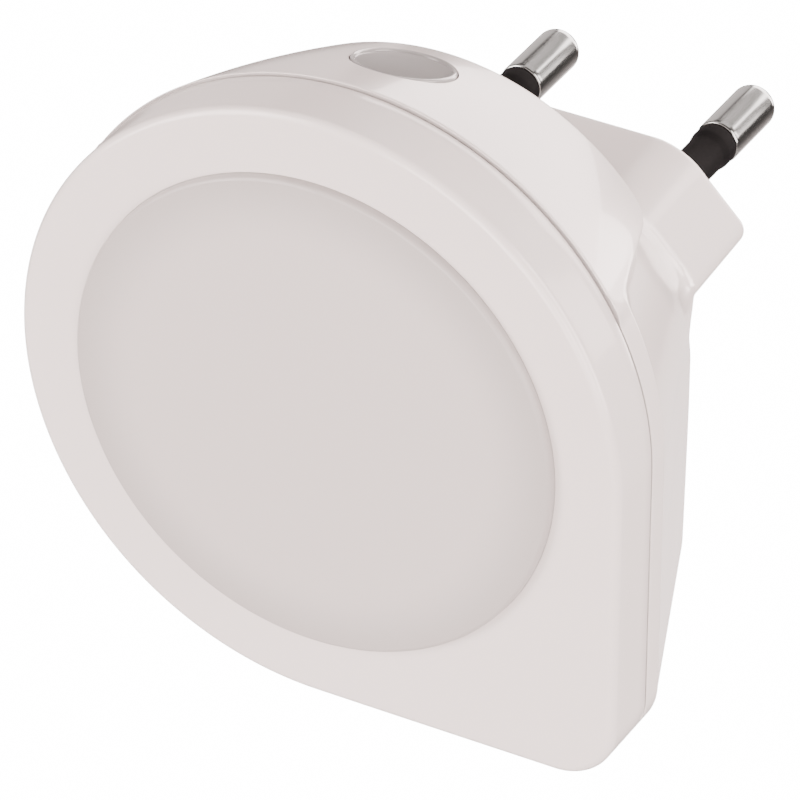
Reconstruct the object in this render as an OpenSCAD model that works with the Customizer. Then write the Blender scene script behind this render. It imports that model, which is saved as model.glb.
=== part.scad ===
// Plug-in LED night light with a dusk sensor.
// The origin is the centre of the plug face, midway between the pins: +X right,
// +Z up, the wall is on +Y and the lit face looks along -Y. Millimetres.

/* [Case] */
// Outer radius of the round part of the case
case_r = 27.8; // [24:0.1:34]
// Radius of the case's one square corner, seen from the front
corner_r = 5.4; // [4.5:0.1:9]
// Distance from the plug face to the front ring
case_depth = 42; // [40:0.5:52]
// Height of the front shell above the parting line
front_h = 5.7; // [5.4:0.1:8]
// Height of the straight rim of the back shell
rim_h = 2.4; // [2:0.1:4]
// Wall of both shells
wall_t = 2; // [1.8:0.1:2.4]
// Rounding of the front edge
edge_r = 1.4; // [0.6:0.1:1.7]
// Shadow gap on the parting line
seam_gap = 0.3; // [0.1:0.05:0.4]
// Length of the lip that locates the shells
lip_l = 1.6; // [1:0.1:2]
// Thickness of the lip
lip_t = 0.7; // [0.6:0.05:0.9]

/* [Rear body] */
// Draft of the tapered body behind the rim, in degrees
body_draft = 22.5; // [19:0.5:24]
// Chamfer round the rear face of the tapered body
body_edge = 0.6; // [0.2:0.1:1]
// Ledge between the rim and the tapered body
rim_step = 0.2; // [0.1:0.05:0.6]

/* [Plug body] */
// Width of the plug body over its side corners, before they are rounded
plug_w = 37.3; // [36:0.1:38.6]
// Height of the plug body
plug_h = 13.4; // [13:0.1:14.4]
// Width of the flat top of the plug body
plug_flat_w = 23.6; // [22:0.2:26]
// Length of the plug body behind the tapered body
plug_l = 11.7; // [11:0.1:14]
// Radius of the plug body's side corners
plug_side_r = 1.8; // [1:0.1:2.4]
// Radius between the plug body's flat top and its slanted sides
plug_top_r = 6.4; // [4:0.1:8]
// Thickness of the plug face
plug_t = 2.5; // [2:0.1:3]

/* [Pins] */
// Pin diameter
pin_d = 4; // [3.9:0.05:4.2]
// Pin length beyond the plug face
pin_l = 19; // [18.5:0.1:20]
// Distance between the pins' axes
pin_gap = 19; // [18:0.1:19.2]
// Radius of the pin's end
pin_tip_r = 1.3; // [0.5:0.1:1.8]
// Diameter of the pin's core inside the sleeve
pin_core_d = 2.8; // [2.4:0.1:3]
// Length of the insulating sleeve beyond the plug face
sleeve_l = 11; // [10:0.1:11.5]
// Diameter of the sleeve's collar, a little under the pin's
sleeve_d = 3.66; // [3.5:0.02:3.68]
// Diameter of the sleeve's neck
sleeve_neck_d = 3.4; // [3.2:0.05:3.45]
// Diameter of the sleeve's root in the plug face
sleeve_root_d = 4.6; // [4.4:0.1:5]
// Length of the sleeve's full-size collar beside the metal
sleeve_collar_l = 1.4; // [0.8:0.1:2.5]
// Length of the cone between the sleeve's collar and neck
sleeve_cone_l = 0.6; // [0.3:0.1:1]
// Diameter of the pin's shoulder inside the case
shoulder_d = 6.4; // [5.6:0.1:7]
// Thickness of the pin's shoulder
shoulder_t = 1.5; // [1:0.1:2]
// Diameter of the pin's solder tail
tail_d = 2.4; // [1.8:0.1:2.8]
// Thickness of the clamp that holds the shoulders down
clamp_t = 2.4; // [1.8:0.1:3]

/* [Diffuser] */
// Width of the front ring round the lit disc
ring_w = 5.9; // [5.6:0.1:7.5]
// Height of the disc's rim above the front ring
diffuser_rise = 0.8; // [0.4:0.1:1.6]
// Extra height of the disc's middle above its rim
dome_rise = 0.6; // [0.2:0.1:1.4]
// Thickness of the disc
diffuser_t = 1.6; // [1.2:0.1:2]
// Chamfer of the disc's rim
diffuser_edge = 0.4; // [0.2:0.1:0.6]
// Width of the flange under the front ring
flange_w = 1.5; // [1:0.1:1.9]
// Thickness of the flange
flange_t = 1.2; // [0.8:0.1:1.6]

/* [Light engine] */
// Depth of the reflector cup
cup_h = 5.3; // [4.5:0.1:6]
// Distance of the reflector cup's floor in from the lit disc's edge
cup_floor_in = 3.1; // [2.4:0.1:3.9]
// Wall of the reflector cup
cup_t = 1.2; // [0.8:0.1:1.4]
// Distance of the LED board's edge in from the case
led_board_in = 8.2; // [7.8:0.1:9]
// Thickness of both boards
board_t = 1.6; // [1:0.1:1.8]
// Number of LEDs on the circle
led_count = 6; // [3:1:8]
// Radius of the circle of LEDs
led_circle_r = 11.5; // [9:0.5:13]
// Width of an LED
led_w = 3.5; // [2.8:0.1:4]
// Length of an LED
led_d = 2.8; // [2.2:0.1:3.5]
// Height of an LED
led_h = 0.8; // [0.5:0.05:0.9]

/* [Sensor] */
// Height of the sensor hood's lower rear corner above the centre
hood_low = 12.8; // [12.6:0.1:14]
// Rise of the hood's underside from its rear edge to the rim
hood_rise = 1.6; // [0.5:0.1:3]
// Length of the sensor hood behind the rim
hood_l = 13.6; // [12:0.1:14.5]
// Draft of the sensor hood, in degrees
hood_draft = 18; // [16:0.5:19]
// Distance from the parting line to where the hood's draft starts
hood_start = 1.5; // [1:0.1:2]
// Radius of the hood's lower rear corner
hood_edge = 1.8; // [0.5:0.1:2.5]
// Diameter of the sensor window
window_d = 8.8; // [7.6:0.1:9.2]
// Thickness of the sensor window
window_t = 2.2; // [1.6:0.1:2.8]
// Distance of the window's centre behind the parting line
window_back = 9; // [8.6:0.1:9.4]
// Depth of the window's centre below the hood
window_sink = 0.3; // [0.25:0.05:0.6]
// Length of the light-tight tube under the window
tube_l = 3; // [2.4:0.1:3.4]
// Bore of the light-tight tube
tube_bore = 5.4; // [5.2:0.1:6]
// Diameter of the photoresistor
cell_d = 5; // [4:0.1:5.1]
// Thickness of the photoresistor
cell_t = 1.8; // [1.2:0.1:2.2]

/* [Driver board] */
// Width of the driver board
board_w = 27; // [26:0.1:27.4]
// Height of the driver board
board_h = 19; // [18.6:0.1:19.6]
// Height of the posts that carry the driver board
post_h = 3.5; // [3.3:0.1:4.5]
// Distance from the pins' axes down to the middle of the driver board
board_drop = 2; // [1.9:0.1:2.4]
// Room beside each end of the film capacitor
film_end_room = 5.3; // [5.2:0.1:6]
// Thickness of the film capacitor
film_d = 6.4; // [5:0.1:6.6]
// Room between the film capacitor and the LED board
film_top_room = 2.2; // [1:0.1:3]
// Diameter of the smoothing capacitor
can_d = 7.6; // [6:0.1:8]
// Room between the smoothing capacitor and the LED board
can_top_room = 3; // [1:0.1:4]

/* [Screws] */
// Diameter of the case screw's shank
case_screw_d = 2.6; // [2.2:0.1:3]
// Diameter of the case screw's head
case_head_d = 4.6; // [4.2:0.1:5]
// Distance of the case screw in from the straight underside
case_screw_in = 6.3; // [6.2:0.1:6.8]
// Distance of the case screw right of the centre
case_screw_x = 16; // [15.5:0.1:17]
// Diameter of the board screws' shank
board_screw_d = 2; // [1.6:0.1:2.2]
// Diameter of the board screws' head
board_head_d = 3.6; // [3.2:0.1:4]
// Height of every screw head
head_h = 1.4; // [1:0.1:1.8]

/* [Fits] */
// Running room between a piece and its seat
fit_gap = 0.1; // [0.05:0.05:0.15]
// Room round a screw or a tail in its hole
hole_gap = 0.05; // [0.03:0.01:0.1]

/* [Hidden] */
$fn = 96;

white = [0.91, 0.90, 0.89];
opal = [0.87, 0.86, 0.85];
board_green = [0.12, 0.38, 0.22];
steel = [0.72, 0.72, 0.73];
nickel = [0.80, 0.79, 0.77];
black = [0.09, 0.09, 0.09];

// Heights above the plug face, towards the room
face_z = case_depth;
seam_z = face_z - front_h;
rim_z = seam_z - rim_h;
body_z = plug_l;
hood_z = rim_z - hood_l;
inner_z = body_z + wall_t;
ring_z = face_z - wall_t;
far = 2 * case_r + case_depth;
eps = 0.01;

// Radii of the tapered body and of its inside
body_top_r = case_r - rim_step;
body_slope = tan(body_draft);
body_skin = wall_t / cos(body_draft);
function body_r(z) = body_top_r - body_slope * (rim_z - z);
inner_corner_r = max(corner_r - wall_t, 1);
// Reach of a rounded corner along the diagonal
function reach(r, rc) = sqrt(2) * (r - rc) + rc;
rear_corner_r = corner_r * 0.6;
lip_r = case_r - wall_t + lip_t;
lip_corner_r = inner_corner_r + lip_t;

// Underside of the tapered body: height below the centre at depth z, a power curve
under_front = -37.5;
under_rear = -8;
under_power = 3;
under_steps = 8;
function under_t(z) = (rim_z - z) / (rim_z - body_z);
function under_y(z) = under_front + (under_rear - under_front) * pow(under_t(z), under_power);

// Sensor hood
hood_top = seam_z - hood_start;
hood_foot_r = 2;
hood_span = rim_z - hood_z;
arc_steps = 6;

// Light engine, stacked under the front ring
diffuser_r = case_r - ring_w;
flange_r = diffuser_r + flange_w;
flange_top = ring_z - fit_gap;
flange_low = flange_top - flange_t;
cup_top = flange_low - fit_gap;
cup_low = cup_top - cup_h;
cup_top_r = flange_r - fit_gap;
cup_floor_r = diffuser_r - cup_floor_in;
cup_floor_t = 1;
skirt_t = 1.2;
dome_steps = 10;
led_board_r = case_r - led_board_in;
led_board_top = cup_low - fit_gap;
led_board_low = led_board_top - board_t;
led_window_gap = 0.6;
led_window = led_w + 2 * led_window_gap;
led_well_d = led_d * 0.75;
led_well_h = led_h * 0.3;
rib_top = led_board_low - fit_gap;
rib_h = 3;
rib_t = 1.6;
rib_hold = 1.6;
rib_in_r = led_board_r - rib_hold;
rib_angles = [25, 155, 235, 290];

// Sensor group, on the hood's crown
function hood_r(z) = case_r - tan(hood_draft) * (hood_top - z);
window_z = seam_z - window_back;
window_y = hood_r(window_z) - window_sink;
collar_t = 0.8;
collar_r = window_d / 2 + fit_gap + collar_t;
tube_z = -window_t - fit_gap;
collar_z = tube_z - tube_l;
collar_drop = 0.8;
cell_lift = 0.3;
lead_d = 0.5;
lead_gap = 2.54;
cell_flat = cell_d * 0.86;
window_dish_d = tube_bore;
window_dish_h = window_t * 0.45;
cell_depth = -collar_z + cell_lift;
cell_y = window_y - cell_depth * cos(hood_draft);
lead_z = window_z + cell_depth * sin(hood_draft);

// Driver board; y is counted from the board's middle for what stands on it
board_low = inner_z + post_h + fit_gap;
board_top = board_low + board_t;
part_z = board_top + hole_gap;
tail_top = board_top + 0.8;
screw_in_x = 2.3;
screw_in_y = 2.5;
screw_x = board_w / 2 - screw_in_x;
screw_y = board_h / 2 - screw_in_y - board_drop;
link_x = -1.5;
link_w = 0.64;
link_hole_d = 1.1;
lead_in = 0.9;
lead_y = board_h / 2 - lead_in - board_drop;

// Lower row: film capacitor between the Zener diode and the transistor
film_in = 0.8;
film_w = board_w - 2 * film_end_room;
film_h = led_board_low - part_z - film_top_room;
film_y = -board_h / 2 + film_d / 2 + film_in;
zener_l = 3.8;
zener_d = 2;
zener_x = -board_w / 2 + 2.2;
transistor_d = 4.4;
transistor_h = 4.4;
transistor_leg_l = 1.2;
transistor_leg_w = 0.45;
transistor_pitch = 1.27;
transistor_flat = 1.2;
transistor_x = film_w / 2 + transistor_d / 2 + 0.5;

// Upper row: fusible resistor and smoothing capacitor between the screws
row_end = screw_x - board_head_d / 2;
can_end_gap = 0.9;
can_h = led_board_low - part_z - can_top_room;
can_x = row_end - can_end_gap - can_d / 2;
can_y = 5.2;
can_bead_low = 1;
can_bead_h = 0.4;
fusible_gap = 0.85;
fusible_can_gap = 1.3;
axial_tail = 0.9;
fusible_d = 2.4;
fusible_span = can_x - can_d / 2 + row_end - fusible_gap - fusible_can_gap;
fusible_l = fusible_span - 2 * axial_tail - lead_d;
fusible_x = fusible_gap - row_end + fusible_span / 2;
fusible_y = board_h / 2 - screw_in_y;

// Bridge rectifier between the left pin's tail and the board links
bridge_gap = 0.25;
bridge_left = tail_d / 2 - pin_gap / 2 + bridge_gap;
bridge_right = link_x - lead_gap / 2 - link_w / 2 - bridge_gap;
bridge_size = [bridge_right - bridge_left, 3.8, 2.2];
bridge_lift = 0.2;
bridge_y = 2.6;
bridge_leg = [0.6, 1.4, 0.7];
bridge_pitch = 2.54;
bleeder_size = [3.2, 1.6, 0.6];
bleeder_y = 1.5;

// Screws
case_screw_y = case_screw_in - case_r;
post_wall = 1.3;
pilot_end = 0.2;
screw_bite = 1;
drive_w = 0.4;
drive_l = 0.45;
well_back = 4;
well_seat = 2;
well_room = 0.3;
well_wall = 1.2;
well_floor = rim_z - well_back;
well_top = well_floor + well_seat;
well_r = case_head_d / 2 + well_room;
post_low = well_top + fit_gap;
post_r = case_screw_d / 2 + post_wall;
post_end = 0.5;
case_screw_l = ring_z - well_floor - screw_bite;
board_post_r = board_screw_d / 2 + post_wall;
rest_r = board_post_r * 1.5;
board_screw_l = board_t + post_h + screw_bite;
shoulder_low = plug_t + fit_gap;
clamp_low = shoulder_low + shoulder_t + fit_gap;
clamp_top = clamp_low + clamp_t;
clamp_screw_l = clamp_t + shoulder_t + screw_bite;

// Turns a shape that is drawn lying on its back so that it faces the room
module facing() {
  rotate([90, 0, 0]) children();
}

// Outline of the case: a circle with one square corner, rounded by rc
module drop_2d(r, rc) {
  circle(r);
  translate([0, -r]) square([r - rc, r]);
  translate([0, rc - r]) square([r, r - rc]);
  translate([r - rc, rc - r]) circle(rc);
}

module drop(r, rc, low, top) {
  translate([0, 0, low]) linear_extrude(top - low) drop_2d(r, rc);
}

// Half section of a slab whose upper edge is rounded by e
module edged_2d(r, low, top, e) {
  translate([0, low]) square([r, top - low - e]);
  translate([0, low]) square([r - e, top - low]);
  translate([r - e, top - e]) circle(e);
}

// The case outline with a rounded upper edge
module edged_drop(r, rc, low, top, e) {
  rotate_extrude(angle = 270) half() edged_2d(r, low, top, e);
  rotate([90, 0, 0]) linear_extrude(r - rc) half() edged_2d(r, low, top, e);
  rotate([90, 0, 90]) linear_extrude(r - rc) mirror([1, 0]) half() edged_2d(r, low, top, e);
  translate([r - rc, rc - r, 0]) rotate([0, 0, 270])
    rotate_extrude(angle = 90) half() edged_2d(rc, low, top, e);
}

// Keeps the right half of a section
module half() {
  intersection() {
    children();
    translate([0, -far]) square([far, 2 * far]);
  }
}

// Tapered body: radius r0 at height z0, r1 at z1, with a chamfer of c at z0
module drop_taper(r0, r1, z0, z1, rc0, rc1, c) {
  slope = (r1 - r0) / (z1 - z0);
  section = [[0, z0], [r0 - c, z0], [r0 + slope * c, z0 + c], [r1, z1], [0, z1]];
  intersection() {
    union() {
      rotate_extrude(angle = 270) polygon(section);
      intersection() {
        rotate([90, 0, 0]) linear_extrude(far) polygon(section);
        rotate([90, 0, 90]) linear_extrude(far) mirror([1, 0]) polygon(section);
      }
    }
    translate([0, 0, z0]) cylinder(h = z1 - z0, r1 = reach(r0, rc0), r2 = reach(r1, rc1));
  }
}

// Section of the plug body, inset from its outside: a flat hexagon with rounded corners
module plug_2d(inset) {
  half_w = plug_w / 2;
  half_h = plug_h / 2;
  flat_x = plug_flat_w / 2;
  run = half_w - flat_x;
  side = sqrt(pow(run, 2) + pow(half_h, 2));
  lean = half_h / side;
  r = max(plug_side_r - inset, 0.4);
  top_r = plug_top_r - inset;
  mid_x = half_w - (inset + r) / lean;
  top_x = flat_x - plug_top_r * (side - run) / half_h;
  top_y = half_h - plug_top_r;
  for (x = [-1, 1], y = [-1, 1]) translate([x * top_x, y * top_y]) circle(top_r);
  for (x = [-1, 1]) translate([x * mid_x, 0]) circle(r);
  polygon([for (q = [[1, 1], [-1, 1], [-1, -1], [1, -1]])
    each q.x * q.y > 0 ? plug_corner(q, mid_x, r, top_x, top_y, top_r, lean, run / side)
      : plug_corner_back(q, mid_x, r, top_x, top_y, top_r, lean, run / side)]);
}

// Where the two roundings of one corner touch the straight sides
function plug_corner(q, mid_x, r, top_x, top_y, top_r, lean, fall) = [
  [q.x * (mid_x + r * lean), q.y * r * fall],
  [q.x * (top_x + top_r * lean), q.y * (top_y + top_r * fall)],
  [q.x * top_x, q.y * (top_y + top_r)]];
function plug_corner_back(q, mid_x, r, top_x, top_y, top_r, lean, fall) =
  let (c = plug_corner(q, mid_x, r, top_x, top_y, top_r, lean, fall)) [c[2], c[1], c[0]];

// Side view of the tapered body: curved underside, top falling to the plug body
module body_side_2d(inset) {
  top_fall = atan2(hood_low - plug_h / 2, hood_z - body_z);
  drop_in = inset / cos(top_fall);
  polygon(concat(
    [[-far, rim_z], [far, rim_z], [far, hood_z + inset], [hood_low - drop_in, hood_z + inset],
     [hood_low - drop_in, hood_z], [plug_h / 2 - drop_in, body_z]],
    [for (i = [0 : under_steps]) let (z = body_z + (rim_z - body_z) * i / (2 * under_steps))
      [under_y(z) + inset, z + inset]],
    [[-far, (rim_z + body_z) / 2 + inset]]));
}

// Points of an arc with radius r round x, y
function arc(x, y, r, from, to) =
  [for (i = [0 : arc_steps]) let (a = from + (to - from) * i / arc_steps) [x + r * cos(a), y + r * sin(a)]];

// Side view of the sensor hood: slanted underside, rounded rear corner, fillet to the rim
module hood_side_2d(low, rear) {
  lean = atan2(hood_rise, hood_span);
  edge_x = low + hood_rise * hood_edge / hood_span + hood_edge / cos(lean);
  foot_x = low + hood_rise * (hood_span - hood_foot_r) / hood_span - hood_foot_r / cos(lean);
  polygon(concat(
    [[far, rim_z], [far, rear]],
    arc(edge_x, rear + hood_edge, hood_edge, 270, 180 - lean),
    arc(foot_x, rim_z - hood_foot_r, hood_foot_r, -lean, 90)));
}

// The sensor hood, inset from its outside
module hood(inset) {
  rear = hood_z + inset;
  skin = inset / cos(hood_draft);
  intersection() {
    translate([0, 0, rear])
      cylinder(h = hood_top - rear, r1 = hood_r(rear) - skin, r2 = case_r - skin);
    translate([-far / 2, 0, 0]) rotate([90, 0, 90]) linear_extrude(far)
      hood_side_2d(hood_low + inset, rear);
  }
}

// The tapered body, inset from its outside
module body(inset) {
  intersection() {
    drop_taper(body_r(body_z + inset) - inset * body_skin / wall_t,
               body_r(rim_z) - inset * body_skin / wall_t, body_z + inset, rim_z,
               rear_corner_r, max(corner_r - inset, 1), body_edge);
    translate([-far / 2, 0, 0]) rotate([90, 0, 90]) linear_extrude(far) body_side_2d(inset);
  }
}

// What the rim loses above the hood's underside, where the hood's draft has started
module hood_relief() {
  low = hood_low + hood_rise;
  difference() {
    translate([-far / 2, low, rim_z - eps]) cube([far, far, hood_top - rim_z]);
    translate([0, 0, rim_z - 2 * eps])
      cylinder(h = hood_top - rim_z + 2 * eps, r1 = hood_r(rim_z), r2 = case_r);
  }
}

// Everything that the back shell encloses, as one solid
module back_outside() {
  difference() {
    drop(case_r, corner_r, rim_z, seam_z - seam_gap);
    hood_relief();
  }
  body(0);
  hood(0);
  linear_extrude(body_z + body_edge) plug_2d(0);
}

// The hollow of the back shell
module back_inside() {
  drop(lip_r + fit_gap, lip_corner_r, seam_z - lip_l - fit_gap, seam_z);
  drop(case_r - wall_t, inner_corner_r, rim_z, seam_z);
  body(wall_t);
  hood(wall_t);
  translate([0, 0, plug_t]) linear_extrude(inner_z) plug_2d(wall_t);
}

// Lies on the tilted seat of the sensor window, with +Z outwards
module at_window() {
  translate([0, window_y, window_z]) rotate([-90 - hood_draft, 0, 0]) children();
}

module at_pins() {
  for (side = [-1, 1]) translate([side * pin_gap / 2, 0, 0]) children();
}

// Moves a piece onto the driver board, which sits below the pins' axes
module on_board(x, y) {
  translate([x, y - board_drop, part_z]) children();
}

module at_board_screws() {
  for (side = [-1, 1]) translate([side * screw_x, screw_y, 0]) children();
}

module at_case_screw() {
  translate([case_screw_x, case_screw_y, 0]) children();
}

// A round rod from a low to a top height
module rod(d, low, top) {
  translate([0, 0, low]) cylinder(d = d, h = top - low);
}

// A block centred on the axis, standing at a height
module block(size, low) {
  translate([-size.x / 2, -size.y / 2, low]) cube(size);
}

// A screw with its head's underside at the seat, and a hexagon socket
module screw(shank_d, head_d, seat, length, down) {
  translate([0, 0, seat]) rotate([down ? 180 : 0, 0, 0]) difference() {
    union() {
      rod(shank_d, 0, length);
      rod(head_d, -head_h, 0);
    }
    rod(head_d * drive_w, -head_h - eps, -head_h * drive_l, $fn = 6);
  }
}

module front_shell() {
  color(white) facing() {
    difference() {
      edged_drop(case_r, corner_r, seam_z, face_z, edge_r);
      drop(case_r - wall_t, inner_corner_r, seam_z - eps, ring_z);
      rod(2 * (diffuser_r + fit_gap), ring_z - eps, face_z + eps);
    }
    difference() {
      drop(lip_r, lip_corner_r, seam_z - lip_l, seam_z + eps);
      drop(case_r - wall_t, inner_corner_r, seam_z - lip_l - eps, seam_z + 2 * eps);
    }
    at_case_screw() difference() {
      rod(2 * post_r, post_low, ring_z + eps);
      rod(case_screw_d + 2 * hole_gap, post_low - eps, ring_z - post_end);
    }
  }
}

module back_shell() {
  color(white) facing() difference() {
    union() {
      difference() {
        back_outside();
        back_inside();
      }
      intersection() {
        back_outside();
        union() {
          for (a = rib_angles) rotate([0, 0, a]) translate([rib_in_r, -rib_t / 2, rib_top - rib_h])
            cube([case_r, rib_t, rib_h]);
          at_board_screws() rod(2 * board_post_r, body_z + eps, inner_z + post_h);
          mirror([0, 1, 0]) at_board_screws() rod(rest_r, body_z + eps, inner_z + post_h);
          rod(2 * board_post_r, eps, plug_t + shoulder_t);
          at_case_screw() rod(2 * (well_r + well_wall), body_z, well_top);
          at_window() rod(2 * collar_r, collar_z, -collar_drop);
        }
      }
    }
    at_pins() rod(sleeve_root_d + 2 * fit_gap, -eps, plug_t + eps);
    at_board_screws()
      rod(board_screw_d + 2 * hole_gap, board_top - board_screw_l - pilot_end, board_low);
    rod(board_screw_d + 2 * hole_gap, clamp_top - clamp_screw_l - pilot_end, clamp_low);
    at_case_screw() rod(2 * well_r, -eps, well_floor);
    at_case_screw() rod(case_screw_d + 2 * fit_gap, well_floor - eps, post_low);
    at_window() rod(window_d + 2 * fit_gap, collar_z - eps, window_t);
  }
}

// Half section of the lit disc: domed front, thin chamfer, skirt and flange
module diffuser_2d() {
  top_r = diffuser_r - diffuser_edge;
  rim = face_z + diffuser_rise;
  polygon(concat(
    [for (i = [0 : dome_steps]) let (r = top_r * i / dome_steps)
      [r, rim + dome_rise * (1 - pow(r / top_r, 2))]],
    [[diffuser_r, rim - diffuser_edge], [diffuser_r, flange_top], [flange_r, flange_top],
     [flange_r, flange_low], [diffuser_r - skirt_t, flange_low], [diffuser_r - skirt_t, rim - diffuser_t]],
    [for (i = [0 : dome_steps]) let (r = (diffuser_r - skirt_t) * (1 - i / dome_steps))
      [r, rim - diffuser_t + dome_rise * (1 - pow(r / top_r, 2)) * (i > 0 ? 1 : 0)]]));
}

module diffuser() {
  color(opal) facing() rotate_extrude() diffuser_2d();
}

module led_place(i) {
  a = 360 * i / led_count + 90;
  translate([led_circle_r * cos(a), led_circle_r * sin(a), 0]) children();
}

module reflector() {
  color("white") facing() difference() {
    rotate_extrude() polygon([
      [0, cup_low], [cup_floor_r, cup_low], [cup_top_r, cup_top], [cup_top_r - cup_t, cup_top],
      [cup_floor_r - cup_t, cup_low + cup_floor_t], [0, cup_low + cup_floor_t]]);
    for (i = [0 : led_count - 1]) led_place(i)
      block([led_window, led_window, 2 * cup_floor_t], cup_low - eps);
  }
}

module led_board() {
  color("white") facing() difference() {
    rod(2 * led_board_r, led_board_low, led_board_top);
    at_links() rod(link_hole_d, led_board_low - eps, led_board_top + eps);
  }
}

module leds() {
  color([0.95, 0.90, 0.60]) facing() for (i = [0 : led_count - 1]) led_place(i) difference() {
    block([led_w, led_d, led_h], led_board_top + hole_gap / 2);
    rod(led_well_d, led_board_top + led_h - led_well_h, led_board_top + 2 * led_h);
  }
}

module at_links() {
  for (side = [-1, 1]) translate([link_x + side * lead_gap / 2, 0, 0]) children();
}

module at_leads() {
  for (side = [-1, 1]) translate([side * lead_gap / 2, lead_y, 0]) children();
}

module driver_board() {
  color(board_green) facing() difference() {
    translate([0, -board_drop, 0]) block([board_w, board_h, board_t], board_low);
    at_pins() rod(tail_d + 2 * fit_gap, board_low - eps, board_top + eps);
    at_board_screws() rod(board_screw_d + 2 * fit_gap, board_low - eps, board_top + eps);
    at_links() rod(link_hole_d, board_low - eps, board_top + eps);
    at_leads() rod(lead_d + 2 * fit_gap, board_low - eps, board_top + eps);
  }
}

module film_capacitor() {
  color([0.80, 0.55, 0.12]) facing() on_board(0, film_y) block([film_w, film_d, film_h], 0);
}

module smoothing_capacitor() {
  r = can_d / 2;
  groove = 0.3;
  bead = can_bead_low + can_bead_h;
  color([0.14, 0.16, 0.25]) facing() on_board(can_x, can_y) rotate_extrude() polygon([
    [0, 0], [r - groove, 0], [r, groove], [r, can_bead_low], [r - groove, bead], [r, bead + can_bead_h],
    [r, can_h - groove], [r - groove, can_h], [r - 3 * groove, can_h - groove], [0, can_h - groove]]);
}

module bridge_rectifier() {
  leg_y = (bridge_size.y + bridge_leg.x) / 2;
  color(black) facing() on_board((bridge_left + bridge_right) / 2, bridge_y) {
    block(bridge_size, bridge_lift);
    for (x = [-1, 1], side = [-1, 1]) translate([x * bridge_pitch / 2, side * leg_y, 0])
      block(bridge_leg, 0);
  }
}

// An axial piece: body along X on two bent leads
module axial(length, d, tail) {
  height = (d + lead_d) / 2;
  translate([0, 0, height]) rotate([0, 90, 0]) rod(d, -length / 2, length / 2);
  for (side = [-1, 1]) {
    translate([side * (length + tail) / 2, 0, height]) rotate([0, 90, 0])
      rod(lead_d, -tail / 2 - eps, tail / 2 + lead_d / 2);
    translate([side * (length / 2 + tail), 0, 0]) rod(lead_d, 0, height);
  }
}

module fusible_resistor() {
  color([0.62, 0.74, 0.78]) facing() on_board(fusible_x, fusible_y)
    axial(fusible_l, fusible_d, axial_tail);
}

module bleeder_resistors() {
  color(black) facing() for (side = [-1, 1]) translate([side * bleeder_size.x, bleeder_y, 0])
    block(bleeder_size, board_low - hole_gap - bleeder_size.z);
}

module zener_diode() {
  color([0.75, 0.30, 0.10]) facing() on_board(zener_x, film_y) rotate([0, 0, 90])
    axial(zener_l, zener_d, axial_tail);
}

module transistor() {
  top = transistor_leg_l + transistor_h;
  color(black) facing() on_board(transistor_x, film_y) {
    difference() {
      rod(transistor_d, transistor_leg_l, top);
      translate([-transistor_d, -transistor_flat - transistor_d, 0])
        cube([2 * transistor_d, transistor_d, 2 * top]);
    }
    for (x = [-1, 0, 1]) translate([x * transistor_pitch, transistor_leg_w / 2, 0])
      block([transistor_leg_w, transistor_leg_w, transistor_leg_l + eps], 0);
  }
}

module photoresistor() {
  bottom = collar_z - cell_lift;
  color([0.80, 0.45, 0.30]) facing() {
    at_window() {
      intersection() {
        rod(cell_d, bottom, bottom + cell_t);
        block([cell_d, cell_flat, 4 * cell_t], bottom - eps);
      }
    }
    for (side = [-1, 1]) translate([side * lead_gap / 2, 0, 0]) {
      translate([0, lead_y, 0]) rod(lead_d, board_low, lead_z + lead_d / 2);
      translate([0, lead_y, lead_z]) rotate([-90, 0, 0])
        rod(lead_d, -lead_d / 2, cell_y - lead_y + lead_d);
    }
  }
}

module sensor_window() {
  color([0.70, 0.70, 0.69, 0.6]) facing() at_window() difference() {
    rod(window_d, -window_t, 0);
    rod(window_dish_d, -window_t - eps, window_dish_h - window_t);
  }
}

module sensor_tube() {
  color(black) facing() at_window() difference() {
    rod(window_d, collar_z, tube_z);
    rod(tube_bore, collar_z - eps, tube_z + eps);
  }
}

// A plug pin: tip, core, shoulder and solder tail in one turned piece
module pin() {
  r = pin_d / 2;
  color(nickel) facing() {
    rod(tail_d, shoulder_low + shoulder_t - eps, tail_top);
    rod(shoulder_d, shoulder_low, shoulder_low + shoulder_t);
    rod(pin_core_d, -sleeve_l - eps, shoulder_low + eps);
    rod(pin_d, -pin_l + pin_tip_r, -sleeve_l);
    rod(pin_d - 2 * pin_tip_r, -pin_l, -sleeve_l);
    translate([0, 0, -pin_l + pin_tip_r])
      rotate_extrude() half() translate([r - pin_tip_r, 0]) circle(pin_tip_r);
  }
}

module left_pin() {
  translate([-pin_gap / 2, 0, 0]) pin();
}

module right_pin() {
  translate([pin_gap / 2, 0, 0]) pin();
}

// The black sleeve of a pin: root in the plug face, slim neck, full-size collar
module sleeve() {
  full = sleeve_d / 2;
  neck = sleeve_neck_d / 2;
  root = sleeve_root_d / 2;
  bore = pin_core_d / 2 + hole_gap;
  end = -sleeve_l + hole_gap;
  color(black) facing() rotate_extrude() polygon([
    [bore, end], [full, end], [full, -sleeve_l + sleeve_collar_l],
    [neck, -sleeve_l + sleeve_collar_l + sleeve_cone_l], [neck, 0], [root, 0], [root, plug_t],
    [bore, plug_t]]);
}

module left_sleeve() {
  translate([-pin_gap / 2, 0, 0]) sleeve();
}

module right_sleeve() {
  translate([pin_gap / 2, 0, 0]) sleeve();
}

module pin_clamp() {
  color([0.80, 0.80, 0.78]) facing() difference() {
    translate([0, 0, clamp_low]) linear_extrude(clamp_t) plug_2d(wall_t + fit_gap);
    at_pins() rod(tail_d + 2 * fit_gap, clamp_low - eps, clamp_top + eps);
    rod(board_screw_d + 2 * fit_gap, clamp_low - eps, clamp_top + eps);
  }
}

module clamp_screw() {
  color(steel) facing() screw(board_screw_d, board_head_d, clamp_top + hole_gap, clamp_screw_l, true);
}

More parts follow.
